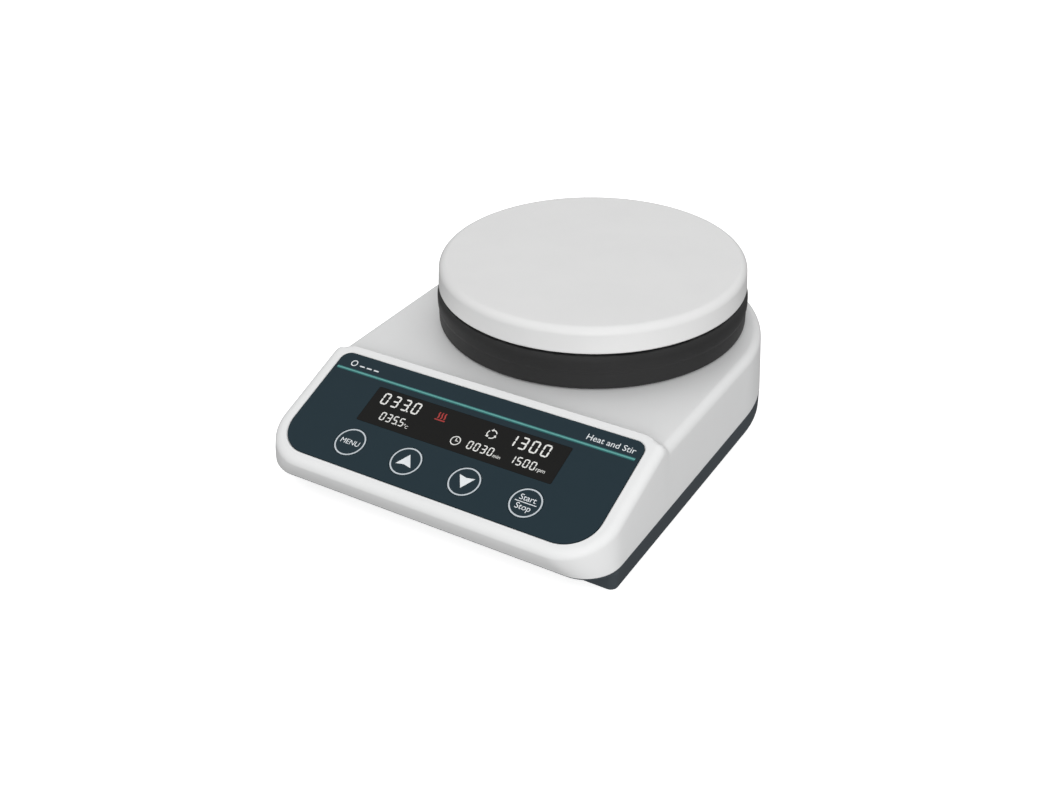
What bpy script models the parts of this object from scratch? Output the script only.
"""Magnetic stirrer with a heated round plate, built as an assembly of separate pieces.

Lengths below are in millimetres and become metres when a mesh is made.
X runs left to right, Y from the sloping front panel to the rear, Z up.
The origin is under the middle of the machine, on the table.
"""
import math

import bmesh
import bpy
from mathutils import Matrix, Vector

# ---- driving dimensions, millimetres ----
MM = 0.001
GAP = 0.3                     # air left between neighbouring pieces
BODY_HALF_W = 79.0            # half width of base and cover at the parting line
TOP_HALF_W = 77.6             # half width of the cover at its top, after the sides' draft
BASE_Z0 = 2.0                 # underside of the base tray, above the feet
BASE_Z1 = 10.6                # parting line between base tray and cover
BASE_FRONT_Y = -92.1          # base tray is set back under the front nose
COVER_FRONT_Y = -101.6        # lower edge of the cover's front face
NOSE_Y = -104.9               # furthest point of the cover's front nose
REAR_MID_Y = 28.5             # where the straight sides turn into the round rear
REAR_SEMI_Y = 76.82           # depth of the half-ellipse that closes the rear
DECK_Z = 37.6                 # flat top of the cover around the plate
WALL = 2.6                    # cover wall thickness
TOP_WALL = 2.8                # cover top thickness, measured straight down
EDGE_R = 4.0                  # rounding of the cover's top edges
PANEL_TILT = math.radians(19.73)
PANEL_Y0 = -100.41            # lower edge of the sloping panel
PANEL_Z0 = 22.45
PANEL_LEN = 52.4              # panel height measured up the slope
PANEL_HALF_W = 71.0
PANEL_R_LOW = 14.0            # lower corner radius of the panel
PANEL_R_TOP = 4.5
BEZEL_MARGIN = 4.4            # cover frame above the panel
RECESS = 1.3                  # depth of the seat the panel lies in
PLATE_Y = 34.9                # axis of plate, rotor and motor
PLATE_R = 67.5
PLATE_EDGE_R = 3.5            # rounding of the plate's top edge
PLATE_Z0 = 53.9
PLATE_Z1 = 65.2
COLLAR_TOP = 52.9
DECK_HOLE_R = 56.0
KEY_X = (-40.5, -13.5, 13.5, 40.5)
KEY_V = 11.4                  # keys' height above the panel's lower edge
KEY_R = 6.9
KEY_TRAVEL = 0.5
WINDOW = (-45.3, 45.3, 22.2, 40.6)
REAR_FACE_Y = 99.0
REAR_HALF_W = 31.0
REAR_Z = (12.0, 33.4)
INLET_X = -15.9
INLET_Z = 22.6
SWITCH_X = 7.3
SWITCH_Z = 22.6
FUSE_X = 23.0
FUSE_Z = 27.9
PROBE_X = 23.0
PROBE_Z = 17.8
FEET = ((-62.0, -76.0), (62.0, -76.0), (-48.0, 72.0), (48.0, 72.0))
BOSSES = ((-69.8, -58.0), (69.8, -58.0), (-58.0, 58.0), (58.0, 58.0))

PANEL_V = Vector((0.0, math.cos(PANEL_TILT), math.sin(PANEL_TILT)))
PANEL_W = Vector((0.0, -math.sin(PANEL_TILT), math.cos(PANEL_TILT)))


# ---- scene and materials ----
def clear_scene():
    for obj in list(bpy.data.objects):
        bpy.data.objects.remove(obj, do_unlink=True)


def material(name, color, rough, metal=0.0, alpha=1.0):
    mat = bpy.data.materials.new(name)
    mat.use_nodes = True
    bsdf = mat.node_tree.nodes["Principled BSDF"]
    bsdf.inputs["Base Color"].default_value = (color[0], color[1], color[2], 1.0)
    bsdf.inputs["Roughness"].default_value = rough
    bsdf.inputs["Metallic"].default_value = metal
    bsdf.inputs["Alpha"].default_value = alpha
    mat.diffuse_color = (color[0], color[1], color[2], alpha)
    return mat


# ---- mesh helpers ----
def finish(name, bm, mat, place=(0, 0, 0), angle=30.0):
    """Turns a bmesh in millimetres into a named object, with its origin at place."""
    bmesh.ops.recalc_face_normals(bm, faces=bm.faces)
    bmesh.ops.scale(bm, vec=(MM, MM, MM), verts=bm.verts)
    mesh = bpy.data.meshes.new(name)
    bm.to_mesh(mesh)
    bm.free()
    if sum(p.area * p.normal.dot(p.center) for p in mesh.polygons) < 0:
        mesh.flip_normals()
    for poly in mesh.polygons:
        poly.use_smooth = True
    mesh.set_sharp_from_angle(angle=math.radians(angle))
    obj = bpy.data.objects.new(name, mesh)
    bpy.context.scene.collection.objects.link(obj)
    obj.location = (place[0] * MM, place[1] * MM, place[2] * MM)
    if mat is not None:
        mesh.materials.append(mat)
    return obj


def cylinder_bm(radius, z0, z1, segments=32, center=(0.0, 0.0)):
    return lathe_bm([(0.0, z0), (radius, z0), (radius, z1), (0.0, z1)], segments, center)


def lathe_bm(profile, segments=48, center=(0.0, 0.0)):
    """Turns a closed (radius, height) outline about Z into a solid."""
    bm = bmesh.new()
    rings = []
    for radius, height in profile:
        if radius == 0.0:
            rings.append([bm.verts.new((center[0], center[1], height))])
            continue
        ring = []
        for i in range(segments):
            turn = 2.0 * math.pi * i / segments
            x = center[0] + radius * math.cos(turn)
            y = center[1] + radius * math.sin(turn)
            ring.append(bm.verts.new((x, y, height)))
        rings.append(ring)
    for k in range(len(rings)):
        a = rings[k]
        b = rings[(k + 1) % len(rings)]
        if len(a) == 1 and len(b) == 1:
            continue
        for i in range(segments):
            j = (i + 1) % segments
            if len(a) == 1:
                bm.faces.new((a[0], b[i], b[j]))
            elif len(b) == 1:
                bm.faces.new((a[i], a[j], b[0]))
            else:
                bm.faces.new((a[i], a[j], b[j], b[i]))
    return bm


def prism_bm(outline, z0, z1):
    """Extrudes a flat (x, y) outline from z0 to z1."""
    bm = bmesh.new()
    low = [bm.verts.new((x, y, z0)) for x, y in outline]
    high = [bm.verts.new((x, y, z1)) for x, y in outline]
    bm.faces.new(low)
    bm.faces.new(high)
    count = len(outline)
    for i in range(count):
        j = (i + 1) % count
        bm.faces.new((low[i], low[j], high[j], high[i]))
    return bm


def box_bm(x0, x1, y0, y1, z0, z1):
    return prism_bm([(x0, y0), (x1, y0), (x1, y1), (x0, y1)], z0, z1)


def round_rect(x0, x1, y0, y1, radii, steps=6):
    """Corner order: low-left, low-right, top-right, top-left."""
    points = []
    corners = ((x0, y0, 180.0), (x1, y0, 270.0), (x1, y1, 0.0), (x0, y1, 90.0))
    for (cx, cy, start), radius in zip(corners, radii):
        mx = cx + radius if cx == x0 else cx - radius
        my = cy + radius if cy == y0 else cy - radius
        for i in range(steps + 1):
            turn = math.radians(start + 90.0 * i / steps)
            points.append((mx + radius * math.cos(turn), my + radius * math.sin(turn)))
    return points


def stand(bm, matrix):
    """Moves a bmesh by a matrix and hands it back."""
    bmesh.ops.transform(bm, matrix=matrix, verts=bm.verts)
    return bm


def panel_matrix(u=0.0, v=0.0, w=0.0):
    """Local X across the panel, Y up its slope, Z out of it."""
    origin = Vector((u, PANEL_Y0, PANEL_Z0)) + PANEL_V * v + PANEL_W * w
    turn = Matrix.Rotation(PANEL_TILT, 4, "X")
    return Matrix.Translation(origin) @ turn


def rear_matrix(x, y, z):
    """Local X across, Y up, Z out of the rear, towards +Y."""
    turn = Matrix(((-1.0, 0.0, 0.0, 0.0), (0.0, 0.0, 1.0, 0.0),
                   (0.0, 1.0, 0.0, 0.0), (0.0, 0.0, 0.0, 1.0)))
    return Matrix.Translation((x, y, z)) @ turn


def join(obj, cutter, operation):
    mod = obj.modifiers.new(operation.lower() + "_" + cutter.name, "BOOLEAN")
    mod.operation = operation
    mod.solver = "EXACT"
    mod.object = cutter
    cutter.hide_render = True
    cutter.display_type = "WIRE"


def cut(obj, name, bm):
    join(obj, finish(name, bm, None), "DIFFERENCE")


def add(obj, name, bm):
    join(obj, finish(name, bm, None), "UNION")


def soften(obj, width, segments=2):
    mod = obj.modifiers.new("soft_edges", "BEVEL")
    mod.width = width * MM
    mod.segments = segments
    mod.limit_method = "ANGLE"
    mod.angle_limit = math.radians(40.0)


# ---- plan outline shared by cover and base ----
COLUMNS = (-1.0, -0.86, -0.5, 0.0, 0.5, 0.86, 1.0)
PLAIN = (-1.0, 0.0, 1.0)
SIDE_Y = (-62.0, -54.0, -51.0, -49.0, -47.6, -46.4, -45.2, -44.0, -42.8, -40.0, -8.0)
PLAIN_Y = (-40.0, -8.0)


def body_outline(front_y, corner_r, half_w, rear_y, side_y=SIDE_Y, corner_steps=6, rear_steps=12):
    """Right-hand side rows from front to rear, as (half width, y)."""
    rows = []
    for i in range(corner_steps + 1):
        turn = math.radians(90.0 * i / corner_steps)
        x = half_w - corner_r + corner_r * math.sin(turn)
        y = front_y + corner_r - corner_r * math.cos(turn)
        rows.append((x, y))
    for y in side_y:
        rows.append((half_w, y))
    semi = rear_y - REAR_MID_Y
    for i in range(rear_steps + 1):
        turn = math.radians(84.0 * i / rear_steps)
        rows.append((half_w * math.cos(turn), REAR_MID_Y + semi * math.sin(turn)))
    return rows


def loop_points(rows, columns=COLUMNS):
    """The whole closed outline: front row, right side, rear row, left side."""
    points = [(rows[0][0] * c, rows[0][1]) for c in columns]
    points += [(x, y) for x, y in rows[1:-1]]
    points += [(rows[-1][0] * c, rows[-1][1]) for c in reversed(columns)]
    points += [(-x, y) for x, y in reversed(rows[1:-1])]
    return points


def inward(points):
    """Unit inward directions in plan at every outline point."""
    count = len(points)
    result = []
    for i in range(count):
        ax, ay = points[i - 1]
        bx, by = points[(i + 1) % count]
        dx, dy = bx - ax, by - ay
        size = math.hypot(dx, dy)
        result.append((-dy / size, dx / size))
    return result


def shift(points, normals, amount):
    return [(p[0] + n[0] * amount, p[1] + n[1] * amount) for p, n in zip(points, normals)]


def smooth_step(t):
    t = min(1.0, max(0.0, t))
    return t * t * (3.0 - 2.0 * t)


def slope_z(y):
    return PANEL_Z0 + (y - PANEL_Y0) * math.tan(PANEL_TILT)


def cover_top(x, y):
    """Height of the cover's top face: the sloping pad round the panel, then the deck."""
    pad_y = PANEL_Y0 + (PANEL_LEN + BEZEL_MARGIN) * math.cos(PANEL_TILT) - 0.4
    pad_r = 10.0
    dx = abs(x) - (TOP_HALF_W - 1.0 - pad_r)
    dy = y - (pad_y - pad_r)
    if dx > 0.0 and dy > 0.0:
        outside = math.hypot(dx, dy) - pad_r
    else:
        outside = max(dy - pad_r, min(dx, dy) - pad_r)
    lift = 1.0 - smooth_step((outside + 0.6) / 4.4)
    return DECK_Z + (min(slope_z(y), slope_z(pad_y)) - DECK_Z) * (lift if y > -62.0 else 1.0)


def cap(bm, ring, rows, height, drop=0.0, columns=COLUMNS):
    """Closes a ring with strips that run across from its left to its right side."""
    half = len(columns)
    count = len(ring)
    side = len(rows) - 2
    lines = [list(ring[:half])]
    for i in range(side):
        right = ring[half + i]
        left = ring[count - 1 - i]
        line = [left]
        for c in columns[1:-1]:
            blend = 0.5 * (c + 1.0)
            x = left.co.x + (right.co.x - left.co.x) * blend
            y = left.co.y + (right.co.y - left.co.y) * blend
            line.append(bm.verts.new((x, y, height(x, y) - drop)))
        line.append(right)
        lines.append(line)
    lines.append(list(reversed(ring[half + side:half + side + half])))
    for a, b in zip(lines, lines[1:]):
        for i in range(half - 1):
            bm.faces.new((a[i], a[i + 1], b[i + 1], b[i]))


def ring_of(bm, points, heights):
    return [bm.verts.new((p[0], p[1], h)) for p, h in zip(points, heights)]


def bridge(bm, a, b):
    count = len(a)
    for i in range(count):
        j = (i + 1) % count
        bm.faces.new((a[i], a[j], b[j], b[i]))


# ---- cover and base ----
def build_upper_cover(mat):
    """Moulded shell: sloping front with a raised frame, flat deck, round rear."""
    bm = bmesh.new()
    rear = REAR_MID_Y + REAR_SEMI_Y
    low = loop_points(body_outline(COVER_FRONT_Y, 15.5, BODY_HALF_W, rear))
    mid_w = (BODY_HALF_W + TOP_HALF_W) / 2 + 0.1
    mid = loop_points(body_outline((COVER_FRONT_Y + NOSE_Y) / 2 - 0.6, 18.0, mid_w, rear))
    rows = body_outline(NOSE_Y, 20.0, TOP_HALF_W, rear)
    top = loop_points(rows)
    normals = inward(top)
    z_low = BASE_Z1 + GAP
    edge = []
    for p, n in zip(top, normals):
        tilt = 0.0
        if p[1] < -46.0:
            tilt = math.atan(math.tan(PANEL_TILT) * n[1])
        reach = EDGE_R - EDGE_R * math.sin(tilt)
        inner = (p[0] + n[0] * reach, p[1] + n[1] * reach)
        center = cover_top(*inner) - EDGE_R * math.cos(tilt)
        edge.append((tilt, center))
    rings = [ring_of(bm, shift(low, inward(low), 0.5), [z_low] * len(low))]
    rings.append(ring_of(bm, low, [z_low + 0.7] * len(low)))
    rings.append(ring_of(bm, mid, [z_low + 0.7 + (e[1] - z_low - 0.7) * 0.45 for e in edge]))
    steps = 4
    for k in range(steps + 1):
        points = []
        heights = []
        for p, n, (tilt, center) in zip(top, normals, edge):
            turn = (math.pi / 2 - tilt) * k / steps
            reach = EDGE_R * (1.0 - math.cos(turn))
            points.append((p[0] + n[0] * reach, p[1] + n[1] * reach))
            heights.append(center + EDGE_R * math.sin(turn))
        rings.append(ring_of(bm, points, heights))
    for a, b in zip(rings, rings[1:]):
        bridge(bm, a, b)
    cap(bm, rings[-1], rows, cover_top)
    in_low = shift(low, inward(low), WALL)
    in_top = shift(top, normals, WALL + 0.6)
    inner = [ring_of(bm, in_low, [z_low] * len(low))]
    inner_heights = [cover_top(*p) - TOP_WALL for p in in_top]
    inner.append(ring_of(bm, in_top, inner_heights))
    bridge(bm, inner[0], inner[1])
    cap(bm, inner[1], rows, cover_top, TOP_WALL)
    bridge(bm, rings[0], inner[0])
    cover = finish("upper_cover", bm, mat)
    for i, (x, y) in enumerate(BOSSES):
        top_z = cover_top(x, y - 4.0) - 1.4
        add(cover, "boss_%d" % (i + 1), cylinder_bm(4.0, 9.8, top_z, 12, (x, y)))
    seat = round_rect(-PANEL_HALF_W - GAP, PANEL_HALF_W + GAP, -GAP, PANEL_LEN + GAP,
                      (PANEL_R_LOW, PANEL_R_LOW, PANEL_R_TOP, PANEL_R_TOP))
    cut(cover, "cut_panel_seat", stand(prism_bm(seat, -RECESS, 6.0), panel_matrix()))
    hole = round_rect(WINDOW[0] + 2.2, WINDOW[1] - 2.2, WINDOW[2] + 2.0, WINDOW[3] - 2.0,
                      (1.0, 1.0, 1.0, 1.0), 2)
    cut(cover, "cut_window", stand(prism_bm(hole, -6.0, 1.0), panel_matrix()))
    for i, x in enumerate(KEY_X):
        bore = stand(cylinder_bm(5.4, -6.0, 1.0, 20), panel_matrix(x, KEY_V))
        cut(cover, "cut_key_%d" % (i + 1), bore)
    cut(cover, "cut_deck", cylinder_bm(DECK_HOLE_R, 30.0, 45.0, 48, (0.0, PLATE_Y)))
    opening = box_bm(-REAR_HALF_W - GAP, REAR_HALF_W + GAP, 85.0, 120.0,
                     REAR_Z[0] - GAP, REAR_Z[1] + GAP)
    cut(cover, "cut_rear", opening)
    for i, (x, y) in enumerate(BOSSES):
        cut(cover, "cut_pilot_%d" % (i + 1), cylinder_bm(1.8, 8.0, 22.0, 10, (x, y)))
    return cover


def build_base_tray(mat):
    """Shallow tray that carries everything, with a lip under the cover's nose."""
    bm = bmesh.new()
    rear = REAR_MID_Y + REAR_SEMI_Y
    lower_rows = body_outline(BASE_FRONT_Y, 3.0, BODY_HALF_W, rear, PLAIN_Y)
    upper_rows = body_outline(COVER_FRONT_Y + 0.8, 15.0, BODY_HALF_W, rear, PLAIN_Y)
    lower = loop_points(lower_rows, PLAIN)
    upper = loop_points(upper_rows, PLAIN)
    count = len(lower)
    n_low = inward(lower)
    n_up = inward(upper)
    wall = 2.4
    stack = [
        (shift(lower, n_low, 0.3), BASE_Z0), (lower, BASE_Z0 + 0.3), (lower, 8.8), (upper, 9.2),
        (upper, BASE_Z1), (shift(upper, n_up, wall), BASE_Z1),
        (shift(lower, n_low, wall), BASE_Z1 - 0.3), (shift(lower, n_low, wall), 4.5)]
    rings = [ring_of(bm, points, [z] * count) for points, z in stack]
    for a, b in zip(rings, rings[1:]):
        bridge(bm, a, b)
    cap(bm, rings[0], lower_rows, lambda x, y: BASE_Z0, 0.0, PLAIN)
    cap(bm, rings[-1], lower_rows, lambda x, y: 4.5, 0.0, PLAIN)
    tray = finish("base_tray", bm, mat)
    for i, (x, y) in enumerate(BOSSES):
        add(tray, "pillar_%d" % (i + 1), cylinder_bm(5.5, 3.0, 9.5, 10, (x, y)))
    for i, (x, y) in enumerate(BOSSES):
        well = [(0.0, 0.0), (3.4, 0.0), (3.4, 6.5), (1.8, 6.5), (1.8, 12.0), (0.0, 12.0)]
        cut(tray, "well_%d" % (i + 1), lathe_bm(well, 10, (x, y)))
    for i, (x, y) in enumerate(FEET):
        cut(tray, "foot_hole_%d" % (i + 1), cylinder_bm(2.5, 0.0, 12.0, 12, (x, y)))
    for i in range(5):
        y = -34.0 + 9.0 * i
        cut(tray, "vent_%d" % (i + 1), box_bm(-26.0, 26.0, y - 1.4, y + 1.4, 0.0, 8.0))
    return tray


def build_feet(mat):
    for i, (x, y) in enumerate(FEET):
        profile = [(0.0, 0.0), (6.4, 0.0), (7.0, 0.6), (7.0, 1.7), (2.2, 1.7), (2.2, 4.8),
                   (3.1, 4.8), (2.2, 6.4), (0.0, 6.4)]
        finish("foot_%d" % (i + 1), lathe_bm(profile, 18), mat, (x, y, 0.0))


def build_base_screws(mat):
    for i, (x, y) in enumerate(BOSSES):
        profile = [(0.0, 5.1), (1.2, 5.1), (1.2, 4.2), (2.6, 4.2), (3.0, 4.7), (3.0, 6.2),
                   (1.5, 6.2), (1.5, 19.0), (0.6, 20.5), (0.0, 20.5)]
        finish("base_screw_%d" % (i + 1), lathe_bm(profile, 12), mat, (x, y, 0.0))


# ---- front panel group ----
def build_front_panel(mats):
    outline = round_rect(-PANEL_HALF_W, PANEL_HALF_W, 0.0, PANEL_LEN,
                         (PANEL_R_LOW, PANEL_R_LOW, PANEL_R_TOP, PANEL_R_TOP), 8)
    bm = stand(prism_bm(outline, -1.0, -0.1), panel_matrix())
    overlay = finish("front_panel", bm, mats["panel"])
    hole = round_rect(WINDOW[0], WINDOW[1], WINDOW[2], WINDOW[3], (0.8, 0.8, 0.8, 0.8), 2)
    cut(overlay, "cut_panel_window", stand(prism_bm(hole, -3.0, 3.0), panel_matrix()))
    for i, x in enumerate(KEY_X):
        bore = stand(cylinder_bm(KEY_R + GAP + 0.1, -3.0, 3.0, 20), panel_matrix(x, KEY_V))
        cut(overlay, "cut_panel_key_%d" % (i + 1), bore)
    lens = round_rect(WINDOW[0] + 0.2, WINDOW[1] - 0.2, WINDOW[2] + 0.2, WINDOW[3] - 0.2,
                      (0.6, 0.6, 0.6, 0.6), 2)
    finish("display_window", stand(prism_bm(lens, -1.0, -0.12), panel_matrix()), mats["lens"])
    module = box_bm(WINDOW[0] + 1.0, WINDOW[1] - 1.0, WINDOW[2] + 0.6, WINDOW[3] - 0.6, -8.2, -3.0)
    finish("display_module", stand(module, panel_matrix()), mats["module"])


def build_keys(mat):
    """Four round keys, each a cap, a plunger and a collar that keeps it in."""
    names = ("menu_key", "up_key", "down_key", "start_stop_key")
    profile = [(0.0, -0.05), (6.9, -0.05), (6.9, -0.65), (5.0, -0.65),
               (5.0, -3.0), (6.4, -3.0), (6.4, -3.8), (2.6, -3.8), (2.6, -6.2), (0.0, -6.2)]
    for name, x in zip(names, KEY_X):
        origin = Vector((x, PANEL_Y0, PANEL_Z0)) + PANEL_V * KEY_V
        bm = stand(lathe_bm(profile, 20), Matrix.Rotation(PANEL_TILT, 4, "X"))
        finish(name, bm, mat, origin)


def build_control_board(mat):
    outline = round_rect(-60.0, 60.0, 3.0, 48.0, (2.0, 2.0, 2.0, 2.0), 2)
    board = finish("control_board", stand(prism_bm(outline, -10.2, -8.6), panel_matrix()), mat)
    for i, x in enumerate(KEY_X):
        switch = box_bm(x - 3.0, x + 3.0, KEY_V - 3.0, KEY_V + 3.0, -9.4, -6.9)
        add(board, "tact_%d" % (i + 1), stand(switch, panel_matrix()))
    chip = box_bm(-12.0, 12.0, 28.0, 36.0, -11.8, -9.4)
    add(board, "chip", stand(chip, panel_matrix()))
    plug = box_bm(-52.0, -36.0, 40.0, 45.0, -15.0, -9.4)
    add(board, "plug", stand(plug, panel_matrix()))


# ---- plate group ----
def build_hot_plate(mat):
    flat_r = PLATE_R - 0.4 - PLATE_EDGE_R
    profile = [(0.0, PLATE_Z1), (flat_r, PLATE_Z1)]
    for i in range(1, 5):
        turn = math.radians(22.5 * i)
        rise = PLATE_Z1 - PLATE_EDGE_R + PLATE_EDGE_R * math.cos(turn)
        profile.append((flat_r + PLATE_EDGE_R * math.sin(turn), rise))
    profile += [(PLATE_R, PLATE_Z0 + 0.8), (PLATE_R - 0.8, PLATE_Z0), (47.5, PLATE_Z0),
                (47.5, PLATE_Z0 + 4.0), (0.0, PLATE_Z0 + 4.0)]
    finish("hot_plate", lathe_bm(profile, 48), mat, (0.0, PLATE_Y, 0.0))


def build_plate_collar(mat):
    z0 = DECK_Z + GAP
    profile = [(58.0, z0), (67.0, z0), (67.8, z0 + 0.9), (67.8, 45.2), (68.1, 46.0),
               (68.2, 47.2), (68.2, 49.4), (67.9, 51.3), (67.1, COLLAR_TOP), (64.4, COLLAR_TOP),
               (64.4, z0 + 2.4), (58.0, z0 + 2.4)]
    finish("plate_collar", lathe_bm(profile, 48), mat, (0.0, PLATE_Y, 0.0))


def build_heater_stack(mats):
    place = (0.0, PLATE_Y, 0.0)
    element = [(6.0, 54.7), (46.6, 54.7), (46.6, 57.6), (6.0, 57.6)]
    finish("heating_element", lathe_bm(element, 30), mats["element"], place)
    wool = [(6.0, 50.6), (46.6, 50.6), (46.6, 54.4), (6.0, 54.4)]
    finish("insulation_disc", lathe_bm(wool, 30), mats["wool"], place)
    shield = [(6.0, 49.1), (46.6, 49.1), (46.6, 50.3), (6.0, 50.3)]
    finish("heat_shield", lathe_bm(shield, 30), mats["aluminium"], place)
    probe = [(0.0, 49.2), (1.4, 49.2), (2.2, 51.0), (2.2, 57.3), (1.6, 57.6), (0.0, 57.6)]
    finish("plate_sensor", lathe_bm(probe, 12), mats["steel"], place)
    for i in range(3):
        turn = math.radians(90.0 + 120.0 * i)
        spot = (51.6 * math.cos(turn), PLATE_Y + 51.6 * math.sin(turn), 0.0)
        post = [(0.0, 34.5), (3.4, 34.5), (3.4, 36.5), (2.6, 37.0), (2.6, 52.0), (3.4, 52.4),
                (3.4, PLATE_Z0 - GAP), (0.0, PLATE_Z0 - GAP)]
        finish("plate_post_%d" % (i + 1), lathe_bm(post, 12), mats["steel"], spot)


# ---- drive group ----
def build_drive(mats):
    place = (0.0, PLATE_Y, 0.0)
    finish("chassis_plate", lathe_bm([(40.5, 32.4), (57.5, 32.4), (57.5, 34.2),
                                      (40.5, 34.2)], 30), mats["steel"], place)
    bracket = box_bm(-56.0, 56.0, -11.0, 11.0, 29.9, 32.1)
    plate = finish("motor_bracket", bracket, mats["steel"], place)
    cut(plate, "bracket_hole", cylinder_bm(9.0, 25.0, 36.0, 20, (0.0, PLATE_Y)))
    can = [(2.8, 29.6), (2.8, 21.0), (0.0, 21.0), (0.0, 6.4), (6.0, 6.4), (6.0, 7.6),
           (19.4, 7.6), (20.6, 8.8), (20.6, 27.4), (19.4, 28.6), (8.0, 28.6), (8.0, 29.6)]
    finish("motor_housing", lathe_bm(can, 22), mats["motor"], place)
    hub = [(0.0, 21.6), (2.5, 21.6), (2.5, 34.6), (7.5, 34.6), (7.5, 38.0), (38.0, 38.0),
           (38.0, 43.0), (0.0, 43.0)]
    rotor = finish("magnet_rotor", lathe_bm(hub, 30), mats["aluminium"], place)
    for i, side in enumerate((-1.0, 1.0)):
        pocket = cylinder_bm(9.5, 40.4, 50.0, 20, (26.0 * side, PLATE_Y))
        cut(rotor, "pocket_%d" % (i + 1), pocket)
        magnet = [(0.0, 40.7), (8.8, 40.7), (9.2, 41.1), (9.2, 48.0), (8.8, 48.4), (0.0, 48.4)]
        name = ("drive_magnet_left", "drive_magnet_right")[i]
        finish(name, lathe_bm(magnet, 20), mats["magnet"], (26.0 * side, PLATE_Y, 0.0))


# ---- power group ----
def build_power(mats):
    board = round_rect(-50.0, 50.0, -78.0, 2.0, (3.0, 3.0, 3.0, 3.0), 2)
    pcb = finish("main_board", prism_bm(board, 7.4, 9.0), mats["pcb"])
    for i, (x, y, r, h) in enumerate(((-36.0, -62.0, 5.0, 21.0), (-22.0, -62.0, 4.0, 18.0))):
        add(pcb, "capacitor_%d" % (i + 1), cylinder_bm(r, 8.2, h, 16, (x, y)))
    add(pcb, "terminal", box_bm(14.0, 44.0, -72.0, -63.0, 8.2, 18.0))
    for i, (x, y) in enumerate(((-44.0, -30.0), (44.0, -30.0), (0.0, -74.0))):
        add(pcb, "standoff_%d" % (i + 1), cylinder_bm(2.5, 4.8, 8.2, 12, (x, y)))
    core = box_bm(-40.0, -2.0, -40.0, -6.0, 9.4, 32.0)
    block = finish("transformer", core, mats["motor"])
    soften(block, 0.8, 1)
    fins = [(8.0, -36.0), (44.0, -36.0), (44.0, -33.0)]
    for i in range(7):
        x = 44.0 - 5.4 * i
        fins += [(x, -10.0), (x - 1.8, -10.0), (x - 1.8, -33.0)]
        if i < 6:
            fins += [(x - 5.4, -33.0)]
    fins += [(8.0, -33.0)]
    finish("heatsink", prism_bm(fins, 9.4, 30.0), mats["aluminium"])


def build_rear_panel(mats):
    x0, x1 = -REAR_HALF_W, REAR_HALF_W
    plate = box_bm(x0, x1, REAR_FACE_Y - 2.0, REAR_FACE_Y, REAR_Z[0], REAR_Z[1])
    panel = finish("rear_panel", plate, mats["base"])
    y0, y1 = REAR_FACE_Y - 6.0, REAR_FACE_Y + 4.0
    cut(panel, "inlet_hole", box_bm(INLET_X - 13.6, INLET_X + 13.6, y0, y1,
                                    INLET_Z - 9.7, INLET_Z + 9.7))
    cut(panel, "switch_hole", box_bm(SWITCH_X - 6.3, SWITCH_X + 6.3, y0, y1,
                                     SWITCH_Z - 9.3, SWITCH_Z + 9.3))
    cut(panel, "fuse_hole", box_bm(FUSE_X - 5.8, FUSE_X + 5.8, y0, y1,
                                   FUSE_Z - 3.8, FUSE_Z + 3.8))
    bore = stand(cylinder_bm(4.3, -6.0, 4.0, 18), rear_matrix(PROBE_X, REAR_FACE_Y, PROBE_Z))
    cut(panel, "probe_hole", bore)


def build_mains_inlet(mats):
    face = REAR_FACE_Y
    body = box_bm(INLET_X - 13.3, INLET_X + 13.3, face - 20.0, face + 0.8,
                  INLET_Z - 9.4, INLET_Z + 9.4)
    inlet = finish("mains_inlet", body, mats["black"])
    flange = round_rect(-14.2, 14.2, -10.3, 10.3, (1.6, 1.6, 1.6, 1.6), 3)
    add(inlet, "inlet_flange", stand(prism_bm(flange, GAP, 1.8), rear_matrix(INLET_X, face, INLET_Z)))
    shape = [(-12.1, -8.1), (12.1, -8.1), (12.1, 3.6), (8.0, 8.1), (-8.0, 8.1), (-12.1, 3.6)]
    well = stand(prism_bm(shape, -14.0, 6.0), rear_matrix(INLET_X, face, INLET_Z))
    cut(inlet, "inlet_well", well)
    pins = (("inlet_pin_earth", 0.0, 2.2), ("inlet_pin_line", -7.0, -2.2), ("inlet_pin_neutral", 7.0, -2.2))
    for name, dx, dz in pins:
        x, z = INLET_X + dx, INLET_Z + dz
        hole = box_bm(x - 1.2, x + 1.2, face - 30.0, face - 10.0, z - 2.2, z + 2.2)
        cut(inlet, "hole_" + name, hole)
        pin = box_bm(x - 1.0, x + 1.0, face - 24.0, face - 1.0, z - 2.0, z + 2.0)
        obj = finish(name, pin, mats["brass"])
        soften(obj, 0.5, 1)


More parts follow.
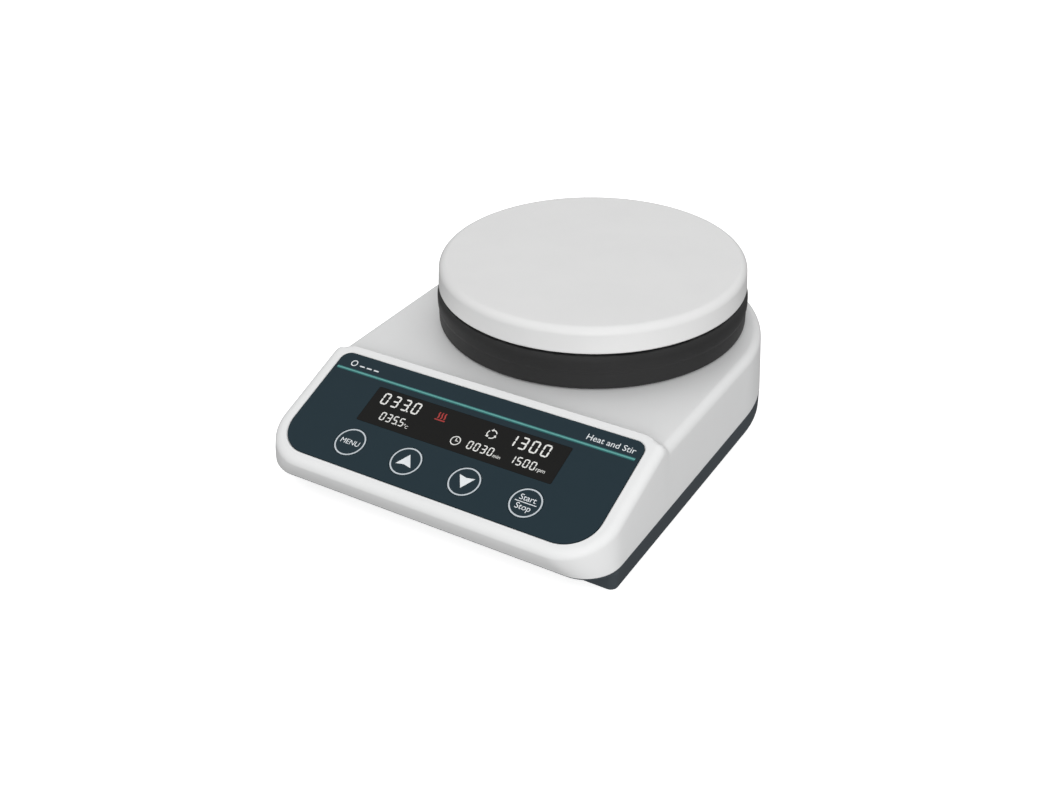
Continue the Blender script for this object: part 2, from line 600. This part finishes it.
def build_power_switch(mats):
    """Rocker in its frame. The rocker turns about a pin across its middle."""
    frame_bm = box_bm(SWITCH_X - 6.0, SWITCH_X + 6.0, REAR_FACE_Y - 14.0, REAR_FACE_Y + 0.8,
                      SWITCH_Z - 9.0, SWITCH_Z + 9.0)
    frame = finish("switch_frame", frame_bm, mats["black"])
    flange = round_rect(-7.2, 7.2, -10.3, 10.3, (1.2, 1.2, 1.2, 1.2), 3)
    place = rear_matrix(SWITCH_X, REAR_FACE_Y, SWITCH_Z)
    add(frame, "switch_flange", stand(prism_bm(flange, GAP, 1.8), place))
    cut(frame, "switch_well", box_bm(SWITCH_X - 5.0, SWITCH_X + 5.0, REAR_FACE_Y - 9.0,
                                     REAR_FACE_Y + 6.0, SWITCH_Z - 8.0, SWITCH_Z + 8.0))
    side = [(-7.4, -2.6), (7.4, -2.6), (7.4, 2.4), (0.0, 1.0), (-7.4, 4.0)]
    bm = bmesh.new()
    left = [bm.verts.new((-4.7, b, a)) for a, b in side]
    right = [bm.verts.new((4.7, b, a)) for a, b in side]
    bm.faces.new(left)
    bm.faces.new(right)
    for i in range(len(side)):
        j = (i + 1) % len(side)
        bm.faces.new((left[i], left[j], right[j], right[i]))
    rocker = finish("power_rocker", bm, mats["black"], (SWITCH_X, REAR_FACE_Y - 1.0, SWITCH_Z))
    soften(rocker, 0.35, 1)


def build_fuse_holder(mats):
    face = REAR_FACE_Y
    body = box_bm(FUSE_X - 5.5, FUSE_X + 5.5, face - 26.0, face + 0.8, FUSE_Z - 3.5, FUSE_Z + 3.5)
    holder = finish("fuse_holder", body, mats["black"])
    flange = round_rect(-6.6, 6.6, -4.6, 4.6, (0.8, 0.8, 0.8, 0.8), 2)
    add(holder, "fuse_flange", stand(prism_bm(flange, GAP, 1.6), rear_matrix(FUSE_X, face, FUSE_Z)))
    cut(holder, "fuse_well", box_bm(FUSE_X - 4.4, FUSE_X + 4.4, face - 24.0, face + 5.0,
                                    FUSE_Z - 2.9, FUSE_Z + 2.9))
    drawer_bm = box_bm(-4.1, 4.1, -23.0, 0.8, -2.6, 2.6)
    drawer = finish("fuse_drawer", drawer_bm, mats["black"], (FUSE_X, face + 1.9, FUSE_Z))
    head = round_rect(-5.6, 5.6, -3.7, 3.7, (0.6, 0.6, 0.6, 0.6), 2)
    head_bm = stand(prism_bm(head, 1.9, 3.6), rear_matrix(FUSE_X, face, FUSE_Z))
    add(drawer, "drawer_head", head_bm)
    cut(drawer, "drawer_bed", box_bm(FUSE_X - 3.1, FUSE_X + 3.1, face - 20.0, face + 1.0,
                                     FUSE_Z - 1.8, FUSE_Z + 5.0))
    rod = stand(lathe_bm([(0.0, -9.6), (1.5, -9.6), (1.5, 9.6), (0.0, 9.6)], 16),
                Matrix.Rotation(math.pi / 2, 4, "X"))
    finish("fuse", rod, mats["glass"], (FUSE_X, face - 9.6, FUSE_Z))


def build_probe_socket(mat):
    profile = [(0.0, -12.0), (3.9, -12.0), (3.9, GAP), (5.4, GAP), (5.4, 1.6), (5.0, 2.0),
               (3.1, 2.0), (3.1, -0.6), (0.9, -0.6), (0.9, 0.8), (0.0, 0.8)]
    bm = stand(lathe_bm(profile, 18), rear_matrix(0.0, 0.0, 0.0))
    finish("probe_socket", bm, mat, (PROBE_X, REAR_FACE_Y, PROBE_Z))


def main():
    clear_scene()
    mats = {
        "cover": material("cover_white", (0.78, 0.79, 0.79), 0.42),
        "base": material("base_grey", (0.055, 0.068, 0.078), 0.5),
        "panel": material("panel_navy", (0.026, 0.04, 0.054), 0.4),
        "lens": material("window_smoke", (0.015, 0.015, 0.017), 0.15, 0.0, 0.8),
        "module": material("display_black", (0.02, 0.02, 0.02), 0.6),
        "key": material("key_navy", (0.03, 0.045, 0.06), 0.4),
        "pcb": material("board_green", (0.02, 0.12, 0.05), 0.5),
        "plate": material("plate_white", (0.8, 0.8, 0.8), 0.25),
        "collar": material("collar_grey", (0.035, 0.035, 0.036), 0.5),
        "element": material("element_mica", (0.45, 0.36, 0.2), 0.6),
        "wool": material("insulation_wool", (0.72, 0.7, 0.64), 0.95),
        "aluminium": material("aluminium_raw", (0.7, 0.71, 0.72), 0.35, 1.0),
        "steel": material("steel_zinc", (0.56, 0.57, 0.58), 0.35, 1.0),
        "motor": material("motor_dark", (0.06, 0.06, 0.065), 0.4, 0.6),
        "magnet": material("magnet_nickel", (0.6, 0.6, 0.6), 0.2, 1.0),
        "black": material("fitting_black", (0.015, 0.015, 0.016), 0.45),
        "brass": material("pin_brass", (0.7, 0.55, 0.3), 0.3, 1.0),
        "glass": material("fuse_glass", (0.8, 0.85, 0.85), 0.1, 0.0, 0.6),
        "rubber": material("foot_rubber", (0.02, 0.02, 0.02), 0.85),
    }
    build_base_tray(mats["base"])
    build_upper_cover(mats["cover"])
    build_feet(mats["rubber"])
    build_base_screws(mats["steel"])
    build_front_panel(mats)
    build_keys(mats["key"])
    build_control_board(mats["pcb"])
    build_hot_plate(mats["plate"])
    build_plate_collar(mats["collar"])
    build_heater_stack(mats)
    build_drive(mats)
    build_power(mats)
    build_rear_panel(mats)
    build_mains_inlet(mats)
    build_power_switch(mats)
    build_fuse_holder(mats)
    build_probe_socket(mats["steel"])


main()
